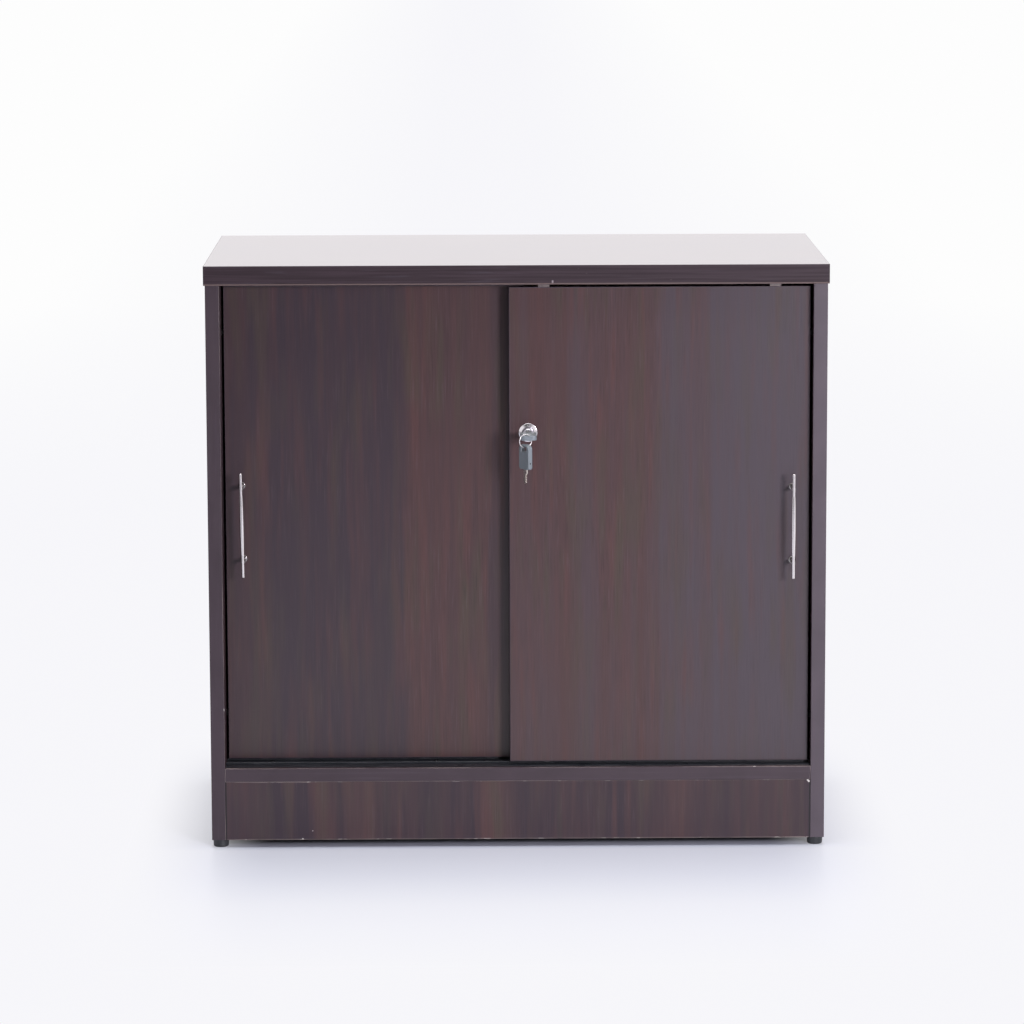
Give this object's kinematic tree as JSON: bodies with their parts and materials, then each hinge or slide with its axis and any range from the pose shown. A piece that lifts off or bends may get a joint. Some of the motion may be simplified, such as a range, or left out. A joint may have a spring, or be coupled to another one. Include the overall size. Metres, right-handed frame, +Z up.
{
  "type": "sliding door cabinet",
  "caption": "Low office cupboard in dark woodgrain board with overlapping sliding doors on rollers, bar handles, a push lock with its keys, and a shelf inside.",
  "frame": {"origin": "on the floor, in the middle of the box round the cabinet with its handles and keys", "axes": "+X along the cabinet's width to the right as one faces the doors, +Y from the doors to the back, +Z up"},
  "size_m": [0.8, 0.4438, 0.76],
  "materials": {
    "dark_woodgrain": "matt laminate with a vertical grain",
    "dark_edge_band": "fine satin grain",
    "hardboard": "raw pressed fibre",
    "dowel_wood": "fluted beech",
    "black_plastic": "extruded satin",
    "wheel_plastic": "moulded nylon",
    "pale_plastic": "moulded satin",
    "buffer_rubber": "soft",
    "satin_nickel": "bright nickel plate",
    "lock_zinc": "plated die casting",
    "steel": "zinc plated",
    "black_steel": "blackened",
    "key_plastic": "moulded satin"
  },
  "bodies": {
    "carcass": {"top_panel": "dark_woodgrain", "top_edge_band": "dark_edge_band", "left_side_panel": "dark_woodgrain", "right_side_panel": "dark_woodgrain", "side_edge_bands": "dark_edge_band", "bottom_panel": "dark_woodgrain", "bottom_edge_band": "dark_edge_band", "plinth_board": "dark_woodgrain", "rear_plinth_board": "dark_woodgrain", "back_panel": "hardboard", "shelf": "dark_woodgrain", "shelf_edge_band": "dark_edge_band", "shelf_pins": "steel", "cam_locks": "lock_zinc", "cam_bolts": "steel", "dowels": "dowel_wood", "feet": "black_plastic", "foot_nails": "steel", "door_buffers": "buffer_rubber", "bottom_track": "black_plastic", "bottom_track_screws": "black_steel", "top_track": "black_plastic", "top_track_screws": "black_steel"},
    "left_door": {"left_door_panel": "dark_woodgrain", "left_door_edge_band": "dark_edge_band", "left_handle_bar": "satin_nickel", "left_handle_posts": "satin_nickel", "left_handle_screws": "steel", "left_door_roller_housings": "black_plastic", "left_door_roller_screws": "steel", "left_door_axles": "steel", "left_door_guides": "pale_plastic", "strike_plate": "lock_zinc", "strike_screws": "steel"},
    "right_door": {"right_door_panel": "dark_woodgrain", "right_door_edge_band": "dark_edge_band", "right_handle_bar": "satin_nickel", "right_handle_posts": "satin_nickel", "right_handle_screws": "steel", "right_door_roller_housings": "black_plastic", "right_door_roller_screws": "steel", "right_door_axles": "steel", "right_door_guides": "pale_plastic", "lock_rosette": "satin_nickel", "lock_housing": "lock_zinc", "lock_screws": "steel", "lock_spring": "steel"},
    "left_door_left_wheel": {"left_door_left_wheel": "wheel_plastic"},
    "left_door_right_wheel": {"left_door_right_wheel": "wheel_plastic"},
    "right_door_left_wheel": {"right_door_left_wheel": "wheel_plastic"},
    "right_door_right_wheel": {"right_door_right_wheel": "wheel_plastic"},
    "lock_plunger": {"lock_plunger": "lock_zinc"},
    "key": {"lock_core": "lock_zinc", "key_head": "key_plastic", "key_blade": "steel"},
    "key_ring": {"key_ring": "steel"},
    "spare_key": {"spare_key_head": "key_plastic", "spare_key_blade": "steel"}
  },
  "joints": [
    {"name": "left_door_slide", "type": "slide", "parent": "carcass", "child": "left_door", "axis": [1, 0, 0], "range_m": [0, 0.34]},
    {"name": "right_door_slide", "type": "slide", "parent": "carcass", "child": "right_door", "axis": [1, 0, 0], "range_m": [-0.34, 0]},
    {"name": "lock_push", "type": "slide", "parent": "right_door", "child": "lock_plunger", "axis": [0, 1, 0], "range_m": [0, 0.008], "stiffness_N_per_m": 300, "springref_m": -0.003, "deforming": ["lock_spring"]},
    {"name": "key_turn", "type": "hinge", "parent": "lock_plunger", "child": "key", "pos_m": [0.0144, -0.16192, 0.542], "axis": [0, 1, 0], "range_deg": [0, 90]},
    {"name": "key_ring_swing", "type": "hinge", "parent": "key", "child": "key_ring", "pos_m": [0.0144, -0.21162, 0.5436], "axis": [1, 0, 0], "range_deg": [-20, 15]},
    {"name": "spare_key_swing", "type": "hinge", "parent": "key_ring", "child": "spare_key", "pos_m": [0.0105, -0.21162, 0.5297], "axis": [0.9063, 0.4226, 0], "range_deg": [-40, 10]},
    {"name": "left_door_left_wheel_roll", "type": "hinge", "parent": "left_door", "child": "left_door_left_wheel", "pos_m": [-0.329, -0.12942, 0.1166], "axis": [0, 1, 0], "continuous": true},
    {"name": "left_door_right_wheel_roll", "type": "hinge", "parent": "left_door", "child": "left_door_right_wheel", "pos_m": [-0.038, -0.12942, 0.1166], "axis": [0, 1, 0], "continuous": true},
    {"name": "right_door_left_wheel_roll", "type": "hinge", "parent": "right_door", "child": "right_door_left_wheel", "pos_m": [0.038, -0.15442, 0.1166], "axis": [0, 1, 0], "continuous": true},
    {"name": "right_door_right_wheel_roll", "type": "hinge", "parent": "right_door", "child": "right_door_right_wheel", "pos_m": [0.329, -0.15442, 0.1166], "axis": [0, 1, 0], "continuous": true}
  ],
  "couplings": [
    {"joint": "left_door_left_wheel_roll", "follows": "left_door_slide", "rad_per_m": 128.21},
    {"joint": "left_door_right_wheel_roll", "follows": "left_door_slide", "rad_per_m": 128.21},
    {"joint": "right_door_left_wheel_roll", "follows": "right_door_slide", "rad_per_m": 128.21},
    {"joint": "right_door_right_wheel_roll", "follows": "right_door_slide", "rad_per_m": 128.21}
  ]
}
